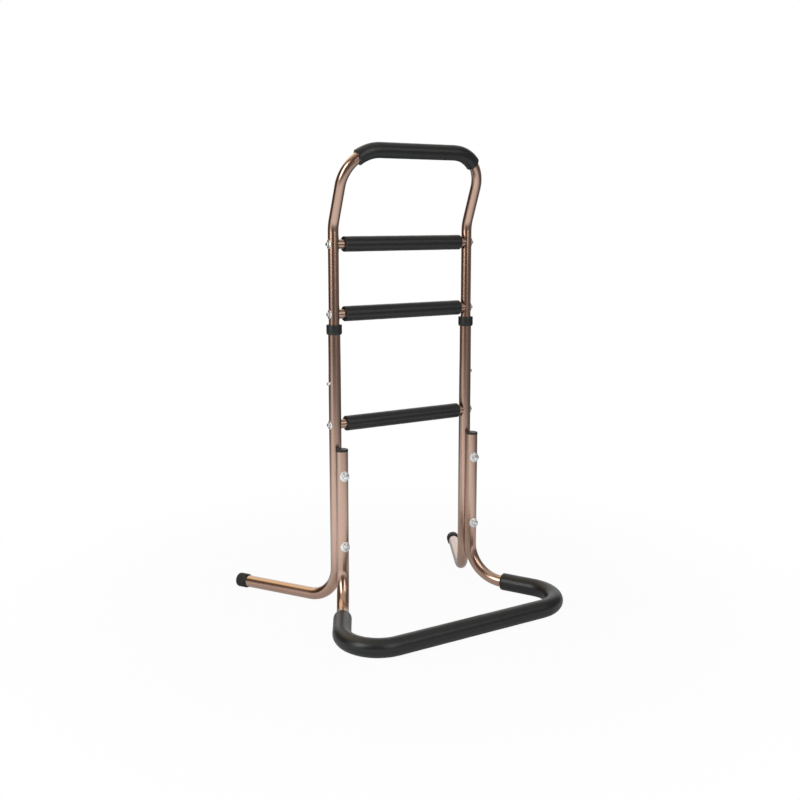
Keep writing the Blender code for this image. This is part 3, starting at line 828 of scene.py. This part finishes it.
def sleeve(node, frames_at, ends, bore, outer, edge, slants=(0, 0)):
    """A padded sleeve: its section is rippled, carried along an axis and slanted at its ends."""
    along, radii = sleeve_rows(*ends, bore, outer, edge)
    frames = frames_at(along)
    grid = carried(frames, rippled(along, radii, bore, FOAM_TURNS), FOAM_TURNS)
    piece = dress(node, slanted(grid, frames, along, ends, slants))


FOAM_TURNS = 64
FOAM_RIPPLE = 0.08 * MM
SLOW_WAVE = 61 * MM
QUICK_WAVE = 27 * MM
HANDLE_SKIN_R = 15.45 * MM
BASE_SKIN_R = 18.4 * MM
RUNG_SKIN_R = 15.45 * MM
CUT_EDGE = 1.2 * MM
BASE_CUT_EDGE = 4 * MM
RUNG_SLIP = 3 * MM
SLANT_REACH = 40 * MM
HANDLE_SLANTS = 0.27, 0.15
HANDLE_SLIPS = 4.2 * MM, 2.3 * MM
HANDLE_FOAM_START = math.radians(47)
BASE_FOAM_START = 2 * MM
handle_start = upper_axis.bends[1][0] + HANDLE_CORNER_RADIUS * HANDLE_FOAM_START
base_start = base_axis.bends[0][1] + BASE_FOAM_START
handle_ends = handle_start + HANDLE_SLIPS[0], upper_axis.length - handle_start + HANDLE_SLIPS[1]
base_ends = base_start, base_axis.length - base_start
sleeve("handle_foam", upper_axis.frames, handle_ends, UPPER_R + FIT, HANDLE_SKIN_R, CUT_EDGE, HANDLE_SLANTS)
sleeve("base_foam", base_axis.frames, base_ends, LEG_R + FIT, BASE_SKIN_R, BASE_CUT_EDGE)
for word in RUNGS:
    node = f"{word}_rung_foam"
    centre = np.array([0, POST_Y, RUNG_Z[word]])
    ends = lowest(node)[0] + RUNG_SLIP, highest(node)[0]
    sleeve(node, lambda along: straight(centre, X, Z, along), ends, RUNG_R + FIT, RUNG_SKIN_R, CUT_EDGE)
print(f"handle foam {handle_ends[1] - handle_ends[0]:.3f} m, base foam {base_ends[1] - base_ends[0]:.3f} m")

# %% [markdown]
# Collars, caps and plugs are moulded, so their edges are rounded. Their sections are a few corners each.
# Every corner is replaced by a small curve, for all corners at once: from a point on one side of the corner
# to a point on the other, bending towards the corner between them.


# %% Rounded sections
def part_way(corner, neighbour, reach):
    """A point on the edge from each corner to its neighbour, at the reach but at most half way."""
    edge = neighbour - corner
    length = np.hypot(*edge.T)[:, None]
    return corner + edge * np.minimum(reach / length, 0.5)


def rounded(section, steps=6):
    """A section with rounded corners: (1 - t)^2 * start + 2 t (1 - t) * corner + t^2 * end.

    section lists distance, radius and rounding. start and end lie part way along the corner's two edges.
    """
    section = np.array(section, dtype=float)
    corner, reach = section[:, :2], section[:, 2:]
    start = part_way(corner, np.roll(corner, 1, axis=0), reach)
    end = part_way(corner, np.roll(corner, -1, axis=0), reach)
    t = np.linspace(0, 1, steps)[None, :, None]
    curve = (1 - t) ** 2 * start[:, None] + 2 * t * (1 - t) * corner[:, None] + t**2 * end[:, None]
    return curve.reshape(-1, 2).T


def turned(node, at, way, side, section, closed=True):
    """A turned piece on a straight axis, from a rounded section."""
    along, radii = rounded(section)
    dress(node, carried(straight(at, way, side, along), radii, TUBE_TURNS), closed)


print("rounded and turned are ready")

# %% Collars and plugs
COLLAR_R = 15.8 * MM
COLLAR_LIP = 3 * MM
COLLAR_ROUND = 1.6 * MM
PLUG_R = LEG_R - TUBE_WALL - FIT
PLUG_DEPTH = 15 * MM
PLUG_HEAD = 4 * MM
for word in SIDES:
    height = highest(f"{word}_leg_collar")[2] - lowest(f"{word}_leg_collar")[2]
    collar = [
        (0, LEG_R + FIT, 0),
        (0, COLLAR_R - COLLAR_ROUND, 0.6 * MM),
        (COLLAR_LIP, COLLAR_R, COLLAR_ROUND),
        (height, COLLAR_R, COLLAR_ROUND),
        (height, UPPER_R + FIT, 0.5 * MM),
        (height - COLLAR_LIP, UPPER_R + FIT, 0),
        (height - COLLAR_LIP, LEG_R + FIT, 0),
    ]
    turned(f"{word}_leg_collar", post(word, lowest(f"{word}_leg_collar")[2]), Z, X, collar)

    plug = [
        (-PLUG_DEPTH, 0, 0),
        (-PLUG_DEPTH, PLUG_R, 1 * MM),
        (0, PLUG_R, 0),
        (0, LEG_R + FIT, 0.4 * MM),
        (PLUG_HEAD, LEG_R + FIT, 1.4 * MM),
        (PLUG_HEAD, 0, 0),
    ]
    plug_at = np.array([SIDES[word] * POST_X, STUB_Y, highest(f"{word}_stub_plug")[2] - PLUG_HEAD])
    turned(f"{word}_stub_plug", plug_at, Z, X, plug, closed=False)
print("collars and plugs")

# %% [markdown]
# A foot cap is a rubber cup. It has a bevelled mouth, a rounded end, and a flat where it stands on the
# floor. The flat comes from lifting every point of the surface to the floor.

# %% Foot caps
CAP_R = 15 * MM
CAP_LENGTH = 26.5 * MM
CAP_BEVEL = 1.2 * MM
CAP_MOUTH = 2.5 * MM
CAP_ROUND = 5 * MM
for word in SIDES:
    mouth = foot_corner(word) + (FOOT_REACH - CAP_LENGTH) * foot_way(word)
    level = np.cross(foot_way(word), Z)
    cap = [
        (CAP_LENGTH - CAP_END, 0, 0),
        (CAP_LENGTH - CAP_END, LEG_R + FIT, 0),
        (0, LEG_R + FIT, 0.4 * MM),
        (0, CAP_R - CAP_BEVEL, 0.5 * MM),
        (CAP_MOUTH, CAP_R, CAP_BEVEL),
        (CAP_LENGTH, CAP_R, CAP_ROUND),
        (CAP_LENGTH, 0, 0),
    ]
    along, radii = rounded(cap)
    grid = carried(straight(mouth, foot_way(word), unit(level), along), radii, TUBE_TURNS)
    grid[..., 2] = np.maximum(grid[..., 2], 0)
    dress(f"{word}_foot_cap", grid, closed=False)
print("foot caps end at z =", round(FOOT_END_Z, 4))

# %% [markdown]
# A hexagon bolt's head is a hexagonal prism whose corners are turned off by a cone. As a surface that is
# one line: the radius at each angle is the smaller of the hexagon's and the cone's. The washers are curved
# ones: a flat ring with rounded edges is worked out first, and then wound onto its tube, as the sheet metal
# is pressed.


# %% Bolts and washers
def hexagon(flats, turns):
    """Radius of a hexagon of this width at each angle: half / cos(angle from the middle of the flat)."""
    angles = np.arange(turns) * 2 * math.pi / turns
    return flats / 2 / np.cos(np.mod(angles, math.pi / 3) - math.pi / 6)


def hex_bolt(node, seat, way, side, shank, flats, head, length):
    """Rows from the crown to the shank's end. The radius is the smaller of the row's own and the hexagon's.

    seat is the point under the head, and way is along the shank.
    """
    half = flats / 2
    rows = [
        (-head, 0),
        (-head, half - 0.5 * MM),
        (-head + 0.25 * MM, half - 0.1 * MM),
        (-head + 1.6 * MM, flats),
        (-0.2 * MM, flats),
        (0, half + 0.2 * MM),
        (0, shank),
        (length, shank),
        (length, 0),
    ]
    along, cone = np.array(rows).T
    radii = np.minimum(cone[:, None], hexagon(flats, BOLT_TURNS))
    dress(node, carried(straight(seat, way, side, along), radii, BOLT_TURNS), closed=False)


def washer(node, seat, way, tube_r, bore, outer):
    """A ring of rows (height, radius) wound round an upright tube.

    A point goes to radius = tube + height, at the angle = distance across / radius of the washer's middle.
    """
    inner = tube_r + FIT
    reach = np.linspace(bore, outer - WASHER_EDGE, 9)
    turn = np.linspace(0, math.pi, 9)[1:-1]
    rim = outer - WASHER_EDGE + WASHER / 2 * np.sin(turn)
    height = np.concatenate([0 * reach, WASHER / 2 * (1 - np.cos(turn)), WASHER + 0 * reach])
    radii = np.concatenate([reach, rim, reach[::-1]])
    angles = np.arange(TUBE_TURNS) * 2 * math.pi / TUBE_TURNS
    swing = np.outer(radii, np.sin(angles)) / (inner + WASHER / 2)
    out = (inner + height)[:, None]
    level = np.cos(swing)[..., None] * way + np.sin(swing)[..., None] * np.cross(way, Z)
    grid = seat - inner * way + out[..., None] * level + np.outer(radii, np.cos(angles))[..., None] * Z
    dress(node, grid)


BOLT_TURNS = 48
WASHER = 1.2 * MM
WASHER_EDGE = WASHER / 2
RUNG_WASHER = {"bore": 2.8 * MM, "outer": 9 * MM}
RUNG_BOLT = {"shank": 2.5 * MM, "flats": 8 * MM, "head": 3 * MM}
RUNG_BOLT_GRIP = 15 * MM
for rung, post_r in RUNGS.items():
    for word, side in SIDES.items():
        node = f"{rung}_rung_{word}"
        seat = post(word, RUNG_Z[rung]) + side * (post_r + FIT) * X
        washer(f"{node}_washer", seat, side * X, post_r, **RUNG_WASHER)
        head_seat = seat + side * (WASHER + FIT) * X
        reach = 2 * (post_r + FIT) + WASHER + RUNG_BOLT_GRIP
        hex_bolt(f"{node}_bolt", head_seat, -side * X, Z, length=reach, **RUNG_BOLT)
print("rung bolts and washers")

# %% [markdown]
# Two bolts on each side hold the base to the legs, through a saddle-shaped spacer and into a nut inside the
# leg. The spacer's two ends follow the two tubes, so its length depends on the angle round it, as a rung's
# does.


# %% Clamps
def spacer(node, x, z):
    """y = stub axis + sqrt(r**2 - dx**2) in front and post axis - sqrt(r**2 - dx**2) behind."""
    angles = np.arange(TUBE_TURNS) * 2 * math.pi / TUBE_TURNS
    radii = np.array([CLAMP_BORE, SPACER_R, SPACER_R, CLAMP_BORE])[:, None]
    dx = radii * np.cos(angles)
    saddle = np.sqrt((LEG_R + FIT) ** 2 - dx**2)
    front, back = STUB_Y + saddle, POST_Y - saddle
    y = np.stack([front[0], front[1], back[2], back[3]])
    grid = np.stack([x + dx, y, z + radii * np.sin(angles)], axis=-1)
    dress(node, grid[:, ::-1])


CLAMP_BORE = 4.3 * MM
SPACER_R = 6.5 * MM
CLAMP_WASHER = {"bore": CLAMP_BORE, "outer": 11 * MM}
CLAMP_BOLT = {"shank": 4 * MM, "flats": 13 * MM, "head": 5.3 * MM}
for word, side in SIDES.items():
    for height in ("upper", "lower"):
        node = f"{word}_{height}_clamp"
        z = middle(f"{node}_washer")[2]
        seat = np.array([side * POST_X, STUB_Y - LEG_R - FIT, z])
        washer(f"{node}_washer", seat, -Y, LEG_R, **CLAMP_WASHER)
        head_seat = seat - (WASHER + FIT) * Y
        reach = (highest(f"{node}_bolt") - head_seat)[1]
        hex_bolt(f"{node}_bolt", head_seat, Y, Z, length=reach, **CLAMP_BOLT)
        spacer(f"{node}_spacer", side * POST_X, z)
print("four clamps")

# %% [markdown]
# A snap button is a small domed pin with a flange that keeps it inside the upper tube. Its tip stands out
# of the leg.

# %% Snap buttons
BUTTON_R = 3.8 * MM
BUTTON_DOME = 2.6 * MM
FLANGE_R = 5 * MM
FLANGE = 1.4 * MM
BUTTON_OUT = 4.5 * MM
tip = LEG_R + BUTTON_OUT
for word, side in SIDES.items():
    node = f"{word}_snap_button"
    inner = min(abs(lowest(node)[0]), abs(highest(node)[0])) - POST_X
    button = [
        (inner, 0, 0),
        (inner, FLANGE_R, 0.3 * MM),
        (inner + FLANGE, FLANGE_R, 0.3 * MM),
        (inner + FLANGE, BUTTON_R, 0),
        (tip, BUTTON_R, BUTTON_DOME),
        (tip, 0, 0),
    ]
    turned(node, post(word, BUTTON_Z), side * X, Z, button, closed=False)
print("snap buttons stand out to x =", round(POST_X + tip, 4))

# %% [markdown]
# Behind each button a strip of spring steel is bent to a V inside the tube. Its far leaf leans on the
# tube's wall and its near leaf carries the button, so pressing the button closes the V. The strip is made
# where it stands and rides on no body: nothing blends it between the frame and the button.


# %% Button springs
def leaf_spring(word, side):
    """Rings of four corners: point of the line +- half thickness * normal, at +- half width.

    The line is a V with rounded corners, from the top of the near leaf down to the fold and up the far leaf.
    Its two end rings shrink to points.
    """
    node = f"{word}_button_spring"
    ends = [side * corner[0] - POST_X for corner in (lowest(node), highest(node))]
    near, far = max(ends) - LEAF_HALF, min(ends) + LEAF_HALF
    between = (near + far) / 2
    top, fold = highest(node)[2], lowest(node)[2] + 2 * LEAF_HALF
    knee = BUTTON_Z - KNEE_DROP
    shape = [
        (near, top, 0),
        (near, knee, KNEE_ROUND),
        (between, fold, FOLD_ROUND),
        (far, knee, KNEE_ROUND),
        (far, top, 0),
    ]
    line = np.stack(rounded(shape), axis=1)
    line = line[np.hypot(*np.diff(line, axis=0, prepend=-1).T) > MERGE_DISTANCE]
    step = np.gradient(line, axis=0)
    normal = np.stack([step[:, 1], -step[:, 0]], axis=1) / np.hypot(*step.T)[:, None]
    thick = np.pad(LEAF_HALF * normal, ((1, 1), (0, 0)))
    wide = np.pad(np.full(len(line), LEAF_WIDTH / 2), 1)
    rows = np.pad(line, ((1, 1), (0, 0)), mode="edge")
    faces = rows[:, None] + thick[:, None] * np.array([1, 1, -1, -1])[:, None]
    y = POST_Y + np.outer(wide, [-1, 1, 1, -1])
    grid = np.stack([side * (POST_X + faces[..., 0]), y, faces[..., 1]], axis=-1)
    fixed, pressed = (post(word, BUTTON_Z) + side * out * X for out in (between, near))
    dress(node, grid[:, ::side], closed=False, bends=(BODY_OF[f"{word}_snap_button"], fixed, pressed))


LEAF_HALF = 0.3 * MM
LEAF_WIDTH = 8 * MM
KNEE_DROP = 7 * MM
KNEE_ROUND = 5 * MM
FOLD_ROUND = 2 * MM
for word, side in SIDES.items():
    leaf_spring(word, side)
print("two springs of", LEAF_WIDTH, "m strip")

# %% [markdown]
# The threaded inserts and the leg nuts are hidden inside the tubes. Their solids are right as they are, so
# they keep their shapes and only get the worked-out finishes.

# %% Pieces that keep their solids
covered = {node for piece in made for node in piece["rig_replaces"]}
kept = [node for node in frame["nodes"] if node not in covered]
for node in kept:
    place = frame["nodes"][node].material_slots[0]
    place.material = FINISH[place.material.name]
print(len(made), "surfaces made,", len(kept), "solids kept:", sorted(kept))
